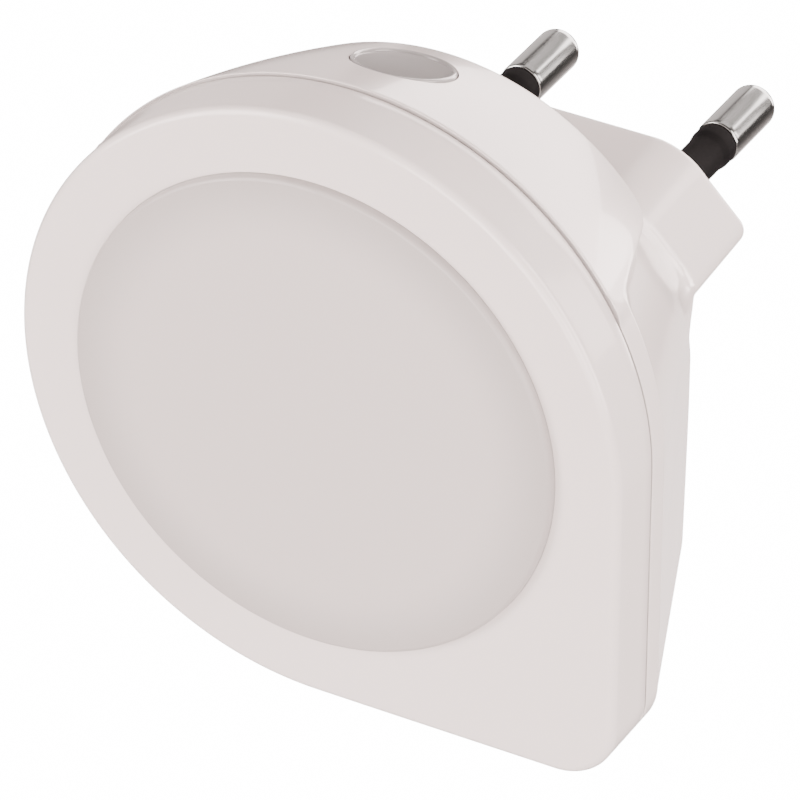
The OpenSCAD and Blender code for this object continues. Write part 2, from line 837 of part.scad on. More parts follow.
module board_links() {
  color(nickel) facing() at_links() block([link_w, link_w, led_board_top - board_low], board_low);
}

module board_screws() {
  color(steel) facing() at_board_screws()
    screw(board_screw_d, board_head_d, board_top + hole_gap, board_screw_l, true);
}

module case_screw() {
  color(steel) facing() at_case_screw()
    screw(case_screw_d, case_head_d, well_floor - hole_gap, case_screw_l, false);
}

front_shell();
back_shell();
diffuser();
reflector();
led_board();
leds();
driver_board();
film_capacitor();
smoothing_capacitor();
bridge_rectifier();
fusible_resistor();
bleeder_resistors();
zener_diode();
transistor();
photoresistor();
sensor_window();
sensor_tube();
left_pin();
right_pin();
left_sleeve();
right_sleeve();
pin_clamp();
clamp_screw();
board_links();
board_screws();
case_screw();
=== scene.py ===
# Plug-in night light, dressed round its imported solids. Metres outside, millimetres in the shapes.
# The plug face is at y = 0, the room is on -Y, the pins point along +Y, and +Z is up.
import math

import bpy
import numpy as np
from mathutils import Matrix, Vector


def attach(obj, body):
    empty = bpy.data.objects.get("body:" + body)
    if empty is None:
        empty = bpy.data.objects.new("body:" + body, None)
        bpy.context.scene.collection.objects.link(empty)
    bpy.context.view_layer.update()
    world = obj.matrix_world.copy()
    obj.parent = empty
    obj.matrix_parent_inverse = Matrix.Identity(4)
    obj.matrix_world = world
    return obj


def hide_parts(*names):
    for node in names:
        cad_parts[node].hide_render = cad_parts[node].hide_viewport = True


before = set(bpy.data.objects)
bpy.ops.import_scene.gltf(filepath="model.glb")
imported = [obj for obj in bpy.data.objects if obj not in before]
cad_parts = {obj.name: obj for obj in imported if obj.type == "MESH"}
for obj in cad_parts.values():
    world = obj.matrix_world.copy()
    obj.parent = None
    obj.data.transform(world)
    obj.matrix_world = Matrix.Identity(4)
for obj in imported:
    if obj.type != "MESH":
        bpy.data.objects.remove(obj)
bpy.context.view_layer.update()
mm = 0.001
crease = 35  # degrees: faces that meet at more than this keep a sharp edge


def gridMesh(name, grid, startPole=None, endPole=None, closed=False, sharp=40):
    # grid[i, j] is the point at step i of the profile and step j round the piece, which closes on
    # itself. A pole is one point that closes an end; closed joins the last step to the first.
    steps, around = grid.shape[:2]
    points = grid.reshape(-1, 3)
    i = np.arange(steps if closed else steps - 1)[:, None]
    j = np.arange(around)[None, :]
    here, after = i * around, (i + 1) % steps * around
    beside = (j + 1) % around
    quads = np.stack([here + j, here + beside, after + beside, after + j], -1)
    faces = quads.reshape(-1, 4).tolist()
    ring = np.arange(around)
    nextOne = (ring + 1) % around
    for pole, row, backwards in ((startPole, 0, True), (endPole, steps - 1, False)):
        if pole is not None:
            tip = np.full(around, len(points))
            points = np.vstack([points, pole])
            pair = (nextOne, ring) if backwards else (ring, nextOne)
            faces += np.stack([row * around + pair[0], row * around + pair[1], tip], -1).tolist()
    mesh = bpy.data.meshes.new(name)
    mesh.from_pydata((points * mm).tolist(), [], faces)
    mesh.validate()
    mesh.polygons.foreach_set("use_smooth", np.ones(len(mesh.polygons), bool))
    mesh.update()
    if sharp:
        mesh.set_sharp_from_angle(angle=math.radians(sharp))
    piece = bpy.data.objects.new(name, mesh)
    bpy.context.scene.collection.objects.link(piece)
    return piece


def facesOut(piece):
    # A closed mesh whose signed volume is negative is inside out, so its faces are flipped.
    mesh = piece.data
    places = np.empty(len(mesh.vertices) * 3)
    mesh.vertices.foreach_get("co", places)
    places = places.reshape(-1, 3)
    mesh.calc_loop_triangles()
    corners = np.empty(len(mesh.loop_triangles) * 3, int)
    mesh.loop_triangles.foreach_get("vertices", corners)
    a, b, c = (places[corners.reshape(-1, 3)[:, k]] for k in range(3))
    if np.einsum("ij,ij->i", a, np.cross(b, c)).sum() < 0:
        mesh.flip_normals()
    return piece


def turned(name, profile, centre=(0, 0), around=128, closed=False, sharp=40):
    # A profile of (radius, y) pairs turned about the Y direction through centre = (x, z):
    # x and z are the centre plus the radius times the cosine and sine of the angle.
    a = np.linspace(0, 2 * np.pi, around, endpoint=False)
    radius, depth = np.asarray(profile, float).T
    x = centre[0] + radius[:, None] * np.cos(a)
    z = centre[1] + radius[:, None] * np.sin(a)
    grid = np.stack([x, np.broadcast_to(depth[:, None], x.shape), z], -1)
    ends = (None, None)
    if not closed:
        ends = [(centre[0], depth[k], centre[1]) for k in (0, -1)]
    return facesOut(gridMesh(name, grid, ends[0], ends[1], closed, sharp))


def lathe(name, profile, around=96):
    # A profile of (radius, height) pairs turned about Z: x and y are the radius times the cosine
    # and sine of the angle.
    a = np.linspace(0, 2 * np.pi, around, endpoint=False)
    radius, height = np.asarray(profile, float).T
    x, y = radius[:, None] * np.cos(a), radius[:, None] * np.sin(a)
    grid = np.stack([x, y, np.broadcast_to(height[:, None], x.shape)], -1)
    return facesOut(gridMesh(name, grid, (0, 0, height[0]), (0, 0, height[-1])))


def arc(x, y, radius, start, end, steps):
    # Points at one radius round (x, y), from one angle to the other, in degrees.
    a = np.radians(np.linspace(start, end, steps + 1))
    return np.stack([x + radius * np.cos(a), y + radius * np.sin(a)], -1)


def bySize(points, weight, count):
    # Resamples each column of a curve to the same count of steps, evenly along its length plus
    # weight times how much it turns, so that the rounded edges get the closest steps.
    step = np.diff(points, axis=0)
    size = np.linalg.norm(step, axis=2)
    way = step / np.maximum(size, 1e-9)[..., None]
    bend = np.arccos(np.clip((way[1:] * way[:-1]).sum(2), -1, 1))
    bend = np.vstack([bend[:1], (bend[1:] + bend[:-1]) / 2, bend[-1:]])
    kernel = np.ones(9) / 9  # evens the turn out over nine steps
    bend = np.apply_along_axis(lambda b: np.convolve(b, kernel, "same"), 0, bend)
    along = np.vstack([np.zeros(points.shape[1]), np.cumsum(size + weight * bend, axis=0)])
    along /= along[-1]
    # Each column gets its own stretch of the number line, two apart, so one interp serves them all.
    columns = np.arange(points.shape[1])
    known = (along + 2 * columns).T.ravel()
    wanted = (np.linspace(0, 1, count)[:, None] + 2 * columns).T.ravel()
    axes = [np.interp(wanted, known, points[..., k].T.ravel()) for k in range(3)]
    return np.stack([axis.reshape(len(columns), count).T for axis in axes], -1)


def roundJoin(a, b, radius):
    # The union of two distances, with a fillet where they meet: the smaller one, but at least the
    # radius, less the length of how far each lies under the radius.
    inA, inB = np.maximum(radius - a, 0), np.maximum(radius - b, 0)
    return np.maximum(radius, np.minimum(a, b)) - np.hypot(inA, inB)


def roundCut(a, b, radius):
    # What two distances share, with its edge rounded: the larger one, but at most minus the
    # radius, plus the length of how far each lies over minus the radius.
    outA, outB = np.maximum(radius + a, 0), np.maximum(radius + b, 0)
    return np.minimum(-radius, np.maximum(a, b)) + np.hypot(outA, outB)


def easeStep(low, high, value):
    # 0 at low and 1 at high, smooth between; low may be the larger one.
    t = np.clip((value - low) / (high - low), 0, 1)
    return t * t * (3 - 2 * t)


# The two shells share this outline: a circle whose lower right quarter is a square with a rounded
# corner. Depths are along Y, from the plug face.
case = {
    "radius": 27.7, "corner": 5.4,
    "face": -42.0, "seam": -36.3, "gap": 0.18, "rimRear": -33.9,
    "edge": 0.75, "rimEdge": 0.3, "rimJoin": 0.15, "lip": 0.1, "lipMiddle": 0.3,
    "sag": 0.05, "sagAcross": (-14, 10), "sagDown": (8, 22),
    "hole": 22.0, "holeLip": 0.06, "ledge": 2.5,
    "wall": 2.0, "ringWall": 2.0,
}


def lowerBy(x, z):
    # The straight underside lies a little lower than the circle it leaves: the sag, eased in
    # along x and downwards.
    return case["sag"] * easeStep(*case["sagAcross"], x) * easeStep(*case["sagDown"], -z)


def dropDistance(x, z, radius, corner):
    # How far a point is outside the outline: outside the circle, or in the lower right quarter
    # outside the square with its rounded corner.
    z = z + lowerBy(x, z)
    qx, qz = x - (radius - corner), -z - (radius - corner)
    outside = np.hypot(np.maximum(qx, 0), np.maximum(qz, 0))
    square = outside + np.minimum(np.maximum(qx, qz), 0) - corner
    return np.where((x > 0) & (z < 0), square, np.hypot(x, z) - radius)


# The tapered body behind the rim. Its underside starts at underFront and ends at underRear, its
# top falls from topHigh at the hood to topLow at the rear face, and the shoulder leads to the plug.
body = {
    "topRadius": 27.6, "draft": 21.6, "rearCorner": 3.2, "rear": -11.7, "rearEdge": 0.5,
    "belly": 0.36, "shareLimit": 1.4,
    "underFront": -37.5, "underRear": -13.0, "underPower": 6.0, "underEdge": 1.0,
    "topHigh": 12.6, "topLow": 6.7, "topJoin": 1.0, "topEdge": 0.8,
    "shoulderRise": 1.0, "shoulderRound": 3.0, "joinRadius": 2.8,
}
# The cone over the sensor. Body and rim are sunk under it, and it is sunk under them below its
# flanks, so that no two surfaces lie in one another. leanShare is the cosine of the flank's rise.
hood = {
    "frontRadius": 27.95, "slope": 0.25, "crown": 0.005, "rear": -20.3,
    "low": 12.8, "rise": 1.6, "leanShare": 0.993,
    "corner": 1.8, "foot": 2.0, "edge": 0.45, "join": 0.6,
    "blend": 0.4, "rearBlend": 1.0, "sunkOver": (0.1, 1.2), "lowSink": 0.3, "lowOver": (0.6, 2.4),
}
# The plug body is a flat hexagon: flat is the width of its top, width that of its middle.
plug = {
    "width": 36.9, "draft": 3.0, "height": 13.4, "flat": 23.6,
    "sideRadius": 1.4, "topRadius": 6.4, "edge": 0.7,
}


def hoodRadius(y):
    # The front radius, less the slope times the depth behind the seam and the crown times its
    # square.
    behind = y - case["seam"] - case["gap"]
    return hood["frontRadius"] - hood["slope"] * behind - hood["crown"] * behind * behind


def hoodFlank(y, z):
    # How far a point is below the hood's lower edge, which rises towards the front.
    run = hood["rear"] - case["rimRear"]
    height = hood["low"] + hood["rise"] * (hood["rear"] - y) / run
    return (height - z) * hood["leanShare"]


def plugSides():
    # Half the plug body's width and height, and the outward normal (x, z) of a slanted side, which
    # is half the height and half of what the width is over the flat, each over the side's length.
    halfWidth, halfHeight, halfFlat = plug["width"] / 2, plug["height"] / 2, plug["flat"] / 2
    side = math.hypot(halfWidth - halfFlat, halfHeight)
    return halfWidth, halfHeight, halfHeight / side, (halfWidth - halfFlat) / side


def taperDistance(x, y, z):
    # The outline shrinks with the draft behind the rim, and its lower half by less, by the belly.
    behindRim = np.clip(y - case["rimRear"], 0, None)
    length = body["rear"] - case["rimRear"]
    share = np.clip(behindRim / length, 0, body["shareLimit"])
    lean = math.tan(math.radians(body["draft"]))
    corner = case["corner"] + (body["rearCorner"] - case["corner"]) * share
    radius = body["topRadius"] - lean * behindRim
    reachDown = radius + body["belly"] * behindRim
    squeezed = np.where(z < 0, z * radius / reachDown, z)
    taper = dropDistance(x, squeezed, radius, corner) * math.cos(math.atan(lean))

    # The underside rises by a power of the share of the depth. The height over it is divided by
    # the length of its slope, which makes it a distance.
    fall, power = body["underRear"] - body["underFront"], body["underPower"]
    under = body["underFront"] + fall * share ** power
    steep = fall * power * share ** (power - 1) / length
    taper = roundCut(taper, (under - z) / np.sqrt(1 + steep ** 2), body["underEdge"])

    # Behind the hood the top is a plane that falls to the rear face.
    fallTop = math.atan2(body["topHigh"] - body["topLow"], body["rear"] - hood["rear"])
    above = (z - body["topLow"]) * math.cos(fallTop) + (y - body["rear"]) * math.sin(fallTop)
    taper = roundCut(taper, roundJoin(above, y - hood["rear"], body["topJoin"]), body["topEdge"])

    # A plane that carries the plug body's upper slant forwards cuts the shoulder.
    halfWidth, _, nx, nz = plugSides()
    rise = body["shoulderRise"]
    shoulder = (np.abs(x) - halfWidth) * nx + z * nz + (y - body["rear"]) * rise
    taper = roundCut(taper, shoulder / math.hypot(1, rise), body["shoulderRound"])
    return roundCut(taper, y - body["rear"], body["rearEdge"])


def coverDistance(cone, flank, y):
    # The hood: what is inside the cone, above the flanks and before the hood's rear end.
    side = roundCut(flank, y - hood["rear"], hood["corner"])
    side = roundJoin(side, y - case["rimRear"], hood["foot"])
    sink = (hood["join"] + hood["lowSink"]) * easeStep(*hood["lowOver"], flank)
    return roundCut(cone + sink, side, hood["edge"])


def plugDistance(x, y, z):
    # The plug body: two slanted sides each way, cut off flat at the top and bottom and at the face.
    halfWidth, halfHeight, nx, nz = plugSides()
    outward = (np.abs(x) - (halfWidth - y * math.tan(math.radians(plug["draft"])))) * nx
    slant = roundCut(outward + z * nz, outward - z * nz, plug["sideRadius"])
    block = roundCut(slant, np.abs(z) - halfHeight, plug["topRadius"] * (1 - nz))
    return roundCut(block, y, plug["edge"])


def shellDistance(p):
    # The back shell's outside: the union of rim, tapered body, sensor hood and plug body.
    x, y, z = p[..., 0], p[..., 1], p[..., 2]
    cone = (np.hypot(x, z) - hoodRadius(y)) * math.cos(math.atan(hood["slope"]))
    flank = hoodFlank(y, z)
    inHood = easeStep(-hood["blend"], hood["blend"], -flank)
    sunk = cone + hood["join"] * easeStep(*hood["sunkOver"], -flank)

    taper = taperDistance(x, y, z)
    beforeRear = easeStep(hood["rearBlend"], -hood["rearBlend"], y - hood["rear"])
    under = inHood * beforeRear
    taper = np.maximum(taper, sunk * under + taper * (1 - under))

    rim = dropDistance(x, z, case["radius"], case["corner"])
    rim = np.maximum(rim, sunk * inHood + rim * (1 - inHood))
    rim = roundCut(rim, y - case["rimRear"], case["rimEdge"])

    shell = roundJoin(taper, rim, case["rimJoin"])
    shell = roundJoin(shell, coverDistance(cone, flank, y), hood["join"])
    return roundJoin(shell, plugDistance(x, y, z), body["joinRadius"])


# How the back shell's surface is found and meshed. closer lists where the columns crowd together:
# place, width in degrees and weight, at the hood's ends, the square corner and the shell's sides.
shellMesh = {
    "columns": 376, "rays": 700, "steps": 205, "bendWeight": 2.5,
    "innerRays": 160, "innerSteps": 44, "innerWeight": 1.0,
    "turnAt": -24.0, "lastTilt": 89.6, "reach": 45.0, "halvings": 19, "lipSteps": 3, "sharp": 38,
    "closer": [(31, 5, 3), (149, 5, 3), (-45, 12, 1.5), (0, 6, 1.5), (180, 6, 1.5)],
}


def castShell(level, columns, samples, start):
    # Points where the distance equals level, along rays that start on the case's axis: first square
    # to it, from start to turnAt, and then tilted more and more until they point at the plug face.
    # Each ray is halved again and again between a point inside and one outside.
    turnAt, lastTilt = shellMesh["turnAt"], np.radians(shellMesh["lastTilt"])
    first = samples // 3
    rest = samples - first
    straight = np.linspace(start, turnAt, first, endpoint=False)
    depth = np.concatenate([straight, np.full(rest, turnAt)])
    tilt = np.concatenate([np.zeros(first), np.linspace(0, lastTilt, rest)])
    way = np.stack([
        np.cos(tilt)[:, None] * np.cos(columns),
        np.broadcast_to(np.sin(tilt)[:, None], (samples, len(columns))),
        np.cos(tilt)[:, None] * np.sin(columns),
    ], -1)
    origin = np.zeros((samples, 1, 3))
    origin[:, 0, 1] = depth
    low, high = np.zeros(way.shape[:2]), np.full(way.shape[:2], shellMesh["reach"])
    for _ in range(shellMesh["halvings"]):
        middle = (low + high) / 2
        outside = shellDistance(origin + way * middle[..., None]) > level
        high = np.where(outside, middle, high)
        low = np.where(outside, low, middle)
    return origin + way * low[..., None]


def closerColumns(count, places):
    # Angles round the case whose density is 1 plus, for each (place, width, weight), the weight
    # times a bell curve of that width, in degrees.
    fine = np.linspace(-180, 180, 7201)
    density = np.ones_like(fine)
    for place, width, weight in places:
        away = (fine - place + 180) % 360 - 180
        density += weight * np.exp(-(away / width) ** 2)
    along = np.concatenate([[0], np.cumsum((density[1:] + density[:-1]) / 2)])
    return np.radians(np.interp(np.linspace(0, along[-1], count, endpoint=False), along, fine))


def makeBackShell():
    # The outside and, one wall further in, the inside, joined at the seam by a small rounded lip.
    columns = closerColumns(shellMesh["columns"], shellMesh["closer"])
    seam, lip = case["seam"] + case["gap"], case["lip"]
    outer = castShell(0, columns, shellMesh["rays"], seam + lip)
    outer = bySize(outer, shellMesh["bendWeight"], shellMesh["steps"])
    inner = castShell(-case["wall"], columns, shellMesh["innerRays"], seam + lip)
    inner = bySize(inner, shellMesh["innerWeight"], shellMesh["innerSteps"])
    a = np.linspace(0, np.pi / 2, shellMesh["lipSteps"] + 1)[:-1]
    way = outer[0] / np.linalg.norm(outer[0, :, ::2], axis=1)[:, None] * [1, 0, 1]
    lipOut = outer[0] - way * lip * (1 - np.sin(a))[:, None, None]
    lipOut[..., 1] = seam + lip * (1 - np.cos(a))[:, None]
    lipIn = inner[:1].copy()
    lipIn[..., 1] = seam
    grid = np.concatenate([inner[::-1], lipIn, lipOut, outer])
    poles = [(0, end[-1, :, 1].mean(), 0) for end in (inner, outer)]
    return facesOut(gridMesh("backShell", grid, *poles, sharp=0))


# How the ring is meshed: columns round it, the shares of them in a quarter circle and in the
# corner's bend, where the steps lie on its side and on its face, and the steps round its edges.
ringMesh = {
    "columns": 420, "quarter": 0.17, "bend": 0.12, "sideAt": (0.25, 0.5, 0.75),
    "faceAt": (0.12, 0.3, 0.5, 0.7, 0.88), "edgeSteps": 10, "lipSteps": 5,
}


def dropPath(count):
    # The outline with its outward normals: three quarters of a circle, two straight sides and the
    # rounded corner, each with its share of the steps.
    radius, corner = case["radius"], case["corner"]
    straight = radius - corner
    quarter, bend = int(count * ringMesh["quarter"]), int(count * ringMesh["bend"])
    a = np.radians(np.linspace(0, 270, 3 * quarter, endpoint=False))
    side = np.linspace(0, 1, (count - 3 * quarter - bend) // 2, endpoint=False)
    b = np.radians(np.linspace(-90, 0, bend, endpoint=False))
    points = np.concatenate([
        np.stack([radius * np.cos(a), radius * np.sin(a)], -1),
        np.stack([straight * side, np.full_like(side, -radius)], -1),
        np.stack([straight + corner * np.cos(b), -straight + corner * np.sin(b)], -1),
        np.stack([np.full_like(side, radius), -straight * (1 - side)], -1),
    ])
    points[:, 1] -= lowerBy(points[:, 0], points[:, 1])
    normals = np.concatenate([
        np.stack([np.cos(a), np.sin(a)], -1), np.tile([0.0, -1.0], (len(side), 1)),
        np.stack([np.cos(b), np.sin(b)], -1), np.tile([1.0, 0.0], (len(side), 1)),
    ])
    return points, normals


def makeFrontShell():
    # Each row is the outline at an inset and a depth: along the side, round the edge, and over the
    # face, where it is mixed more and more with the hole's circle. The hole's wall and the inside
    # close the ring.
    points, normals = dropPath(ringMesh["columns"])
    ring = points / np.linalg.norm(points, axis=1)[:, None]
    edge, seam, face, lip = case["edge"], case["seam"], case["face"], case["lip"]
    hole, holeLip = case["hole"], case["holeLip"]
    ringBack = face + case["ringWall"]

    middle = case["lipMiddle"] * lip
    side = [(lip, seam), (middle, seam - middle), (0, seam - lip)]
    side += [(0, seam + (face + edge - seam) * t) for t in ringMesh["sideAt"]]
    a = np.radians(np.linspace(0, 90, ringMesh["edgeSteps"] + 1))
    side += [(edge - edge * math.cos(t), face + edge - edge * math.sin(t)) for t in a]
    rows = [(points - normals * inset, depth) for inset, depth in side]

    narrow, wide = points - normals * edge, ring * (hole + holeLip)
    rows += [(narrow * (1 - mix) + wide * mix, face) for mix in ringMesh["faceAt"]]
    b = np.radians(np.linspace(90, 0, ringMesh["lipSteps"] + 1))
    rows += [(ring * (hole + holeLip * math.cos(t)), face + holeLip * (1 - math.sin(t))) for t in b]
    rows += [(ring * hole, ringBack), (ring * (hole + case["ledge"]), ringBack)]
    inside = points - normals * case["wall"]
    rows += [(inside, ringBack), (inside, seam)]
    grid = np.array([np.insert(plan, 1, depth, axis=1) for plan, depth in rows])
    return facesOut(gridMesh("frontShell", grid, closed=True, sharp=crease))


disc = {
    "radius": 21.98, "rise": 0.8, "dome": 0.6, "edge": 0.42, "skirt": 1.2,
    "flange": 23.4, "flangeTop": -40.1, "flangeThick": 1.2, "thick": 1.6, "backShare": 0.93,
    "firstShare": 0.04, "steps": 40, "crowding": 0.8,
}


def makeDiffuser():
    # A shallow dome whose height falls with the square of the radius, a rounded lip, a skirt with a
    # flange under the ring, and the dome's inside.
    radius, edge = disc["radius"], disc["edge"]
    top = case["face"] - disc["rise"]
    flat = radius - edge
    r = np.linspace(disc["firstShare"], 1, disc["steps"]) ** disc["crowding"] * flat
    dome = np.stack([r, top - disc["dome"] * (1 - (r / flat) ** 2)], -1)
    lip = arc(flat, top + edge, edge, start=-85, end=0, steps=8)
    flangeTop, flangeLow = disc["flangeTop"], disc["flangeTop"] + disc["flangeThick"]
    innerRadius = radius - disc["skirt"]
    skirt = [
        (radius, flangeTop), (disc["flange"], flangeTop), (disc["flange"], flangeLow),
        (innerRadius, flangeLow), (innerRadius, top + disc["thick"]),
    ]
    back = dome[::-1] * [disc["backShare"], 1] + [0, disc["thick"]]
    return turned("litDisc", np.vstack([dome, lip, skirt, back]), around=192, sharp=crease)


print("case surfaces")
backShell = makeBackShell()
frontShell = makeFrontShell()
litDisc = makeDiffuser()

sensor = {
    "radius": 4.4, "depth": -27.3, "tilt": 18.0, "sink": 0.3, "gap": 0.1,
    "edge": 0.22, "dish": 0.12, "thick": 2.0, "cut": (-6, 3), "firstShare": 0.05, "steps": 24,
}


def sensorPlace():
    # The matrix that carries the window's centre to its place and turns +Z to its outward normal.
    # The centre's height is the hood's radius there, less the sink.
    height = hoodRadius(sensor["depth"]) - sensor["sink"]
    turn = Matrix.Rotation(math.radians(-sensor["tilt"]), 4, "X")
    return Matrix.Translation(Vector((0, sensor["depth"], height)) * mm) @ turn


def placed(piece, matrix):
    # Moves the mesh's own points by the matrix; the piece stays at the origin.
    piece.data.transform(matrix)
    return piece


def makeWindow():
    # A face dished by a cosine of the radius, inside a raised round rim.
    radius, edge, low = sensor["radius"], sensor["edge"], -sensor["thick"]
    inner = radius - 2 * edge
    r = np.linspace(sensor["firstShare"], 1, sensor["steps"]) * inner
    face = np.stack([r, -sensor["dish"] * np.cos(r / inner * np.pi / 2)], -1)
    rim = arc(radius - edge, 0, edge, start=170, end=0, steps=10)
    profile = np.vstack([face, rim, [(radius, low), (0.1, low)]])
    return placed(lathe("sensorLens", profile), sensorPlace())


# Depths along Y from the plug face. The sleeve has a full-size collar beside the metal, a short
# cone, a slimmer neck, and a wider root inside the shell.
pin = {
    "radius": 2.0, "length": 19.0, "gap": 19.0, "tip": 1.3, "core": 1.4, "back": -1.0,
    "rim": 0.18, "rimEnd": 0.6,
}
sleeve = {
    "end": 11.0, "clear": 0.05, "neck": 1.75, "collarRadius": 1.92, "collar": 1.4, "cone": 0.6,
    "root": 2.3, "rootBack": -2.5, "rootEnd": -0.15, "edge": 0.12, "round": 0.1, "footEnd": 0.02,
    "neckAt": (0.35, 2.5, 5.5), "ease": 0.03, "easeAlong": (0.25, 0.05, 0.2),
}
holes = {
    "pinRadius": 2.4, "pinDepth": -3.5, "screwRadius": 2.6, "screwDepth": -29.9,
    "screwPlace": (16, -21.5), "clear": 1.0,
}


def makePin(name, x):
    # A slim core through the sleeve, a rounded rim at its end, the metal, and a domed tip.
    radius, length, tip, core, rim = (pin[k] for k in ("radius", "length", "tip", "core", "rim"))
    end = sleeve["end"]
    profile = np.vstack([
        [(0.1, pin["back"]), (core, pin["back"]), (core, end), (radius - rim, end)],
        arc(radius - rim, end + rim, rim, start=-90, end=0, steps=4),
        [(radius, end + pin["rimEnd"]), (radius, (end + length) / 2), (radius, length - tip)],
        arc(radius - tip, length - tip, tip, start=6, end=86, steps=10),
        [((radius - tip) * 0.5, length), (0.05, length)],
    ])
    return turned(name, profile, (x, 0), around=96, sharp=crease)


def makeSleeve(name, x):
    # Turned from root to collar, with a bore that clears the pin's core. The cone from neck to
    # collar starts and ends with a small ease, and the collar's end is rounded.
    neck, radius, root = sleeve["neck"], sleeve["collarRadius"], sleeve["root"]
    edge, ease, bore = sleeve["edge"], sleeve["ease"], pin["core"] + sleeve["clear"]
    end = sleeve["end"] - sleeve["clear"]
    collar = end - sleeve["collar"]
    cone = collar - sleeve["cone"]
    before, within, after = sleeve["easeAlong"]
    profile = np.vstack([
        [(bore, sleeve["rootBack"]), (root, sleeve["rootBack"]), (root, sleeve["rootEnd"])],
        [(neck + edge, sleeve["footEnd"]), *((neck, y) for y in sleeve["neckAt"])],
        [(neck, cone - before), (neck + ease, cone)],
        [(radius - ease, collar - within), (radius, collar + after)],
        [(radius, end - edge), (radius - sleeve["round"], end), (bore, end)],
    ])
    return turned(name, profile, (x, 0), around=96, closed=True, sharp=crease)


def cutWith(piece, cutters):
    # Takes the cutters out of the piece, and deletes them.
    for cutter in cutters:
        change = piece.modifiers.new("cut", "BOOLEAN")
        change.operation, change.object, change.solver = "DIFFERENCE", cutter, "EXACT"
        bpy.context.view_layer.update()
        shown = piece.evaluated_get(bpy.context.evaluated_depsgraph_get())
        mesh = bpy.data.meshes.new_from_object(shown)
        piece.modifiers.clear()
        old = piece.data
        piece.data = mesh
        bpy.data.meshes.remove(old)
        bpy.data.objects.remove(cutter)


def cutHoles(half):
    # The window's hole is square to the hood; those for the pins and the screw run along Y.
    radius, clear = sensor["radius"] + sensor["gap"], holes["clear"]
    window = lathe("windowCut", [(radius, y) for y in sensor["cut"]], around=128)
    cutters = [placed(window, sensorPlace())]
    for name, x, z in (("pin", -half, 0), ("pin", half, 0), ("screw", *holes["screwPlace"])):
        wide, deep = holes[name + "Radius"], holes[name + "Depth"]
        cutters.append(turned(name + "Cut", [(wide, deep), (wide, clear)], (x, z), around=64))
    cutWith(backShell, cutters)
    backShell.data.set_sharp_from_angle(angle=math.radians(shellMesh["sharp"]))


half = pin["gap"] / 2
sensorLens = makeWindow()
cutHoles(half)
print("back shell cut")

pins = [makePin("leftPinMetal", -half), makePin("rightPinMetal", half)]
sleeves = [makeSleeve("leftPinSleeve", -half), makeSleeve("rightPinSleeve", half)]
print("pins")


def newSocket(group, name, kind, way, value=None):
    # Adds a socket to the group's interface, with its value where one is given.
    made = group.interface.new_socket(name=name, in_out=way, socket_type="NodeSocket" + kind)
    if value is not None:
        made.default_value = value


def newMath(nodes, operation, second=None, third=None):
    # A maths node, whose second and third inputs are set where a value is given.
    made = nodes.new("ShaderNodeMath")
    made.operation = operation
    for k, value in ((1, second), (2, third)):
        if value is not None:
            made.inputs[k].default_value = value
    return made


def makeGrainGroup():
    # Fine moulded or cast grain. The colour is multiplied by 1 plus the mottle times a wide noise
    # about zero, the roughness gains the spread times that noise, and the height is a fine noise.
    group = bpy.data.node_groups.new("mouldedGrain", "ShaderNodeTree")
    newSocket(group, "Vector", "Vector", "INPUT")
    newSocket(group, "Colour", "Color", "INPUT", (0.8, 0.8, 0.8, 1))
    for name, value in (("Mottle", 0.02), ("Roughness", 0.4), ("Roughness spread", 0.06),
                        ("Grain size", 4000.0), ("Patch size", 90.0)):
        newSocket(group, name, "Float", "INPUT", value)
    newSocket(group, "Colour", "Color", "OUTPUT")
    newSocket(group, "Roughness", "Float", "OUTPUT")
    newSocket(group, "Height", "Float", "OUTPUT")
    nodes, link = group.nodes, group.links.new
    came, went = nodes.new("NodeGroupInput"), nodes.new("NodeGroupOutput")
    patch, grain = nodes.new("ShaderNodeTexNoise"), nodes.new("ShaderNodeTexNoise")
    patch.inputs["Detail"].default_value = 4
    grain.inputs["Detail"].default_value = 3
    link(came.outputs["Vector"], patch.inputs["Vector"])
    link(came.outputs["Vector"], grain.inputs["Vector"])
    link(came.outputs["Patch size"], patch.inputs["Scale"])
    link(came.outputs["Grain size"], grain.inputs["Scale"])
    centred = newMath(nodes, "SUBTRACT", 0.5)
    link(patch.outputs["Fac"], centred.inputs[0])
    amount = newMath(nodes, "MULTIPLY_ADD", third=1.0)
    link(centred.outputs[0], amount.inputs[0])
    link(came.outputs["Mottle"], amount.inputs[1])
    tone = nodes.new("ShaderNodeMix")
    tone.data_type, tone.blend_type = "RGBA", "MULTIPLY"
    tone.inputs["Factor"].default_value = 1.0
    link(came.outputs["Colour"], tone.inputs[6])
    link(amount.outputs[0], tone.inputs[7])
    link(tone.outputs[2], went.inputs["Colour"])
    spread = newMath(nodes, "MULTIPLY_ADD")
    link(centred.outputs[0], spread.inputs[0])
    link(came.outputs["Roughness spread"], spread.inputs[1])
    link(came.outputs["Roughness"], spread.inputs[2])
    link(spread.outputs[0], went.inputs["Roughness"])
    link(grain.outputs["Fac"], went.inputs["Height"])
    return group


grainGroup = makeGrainGroup()


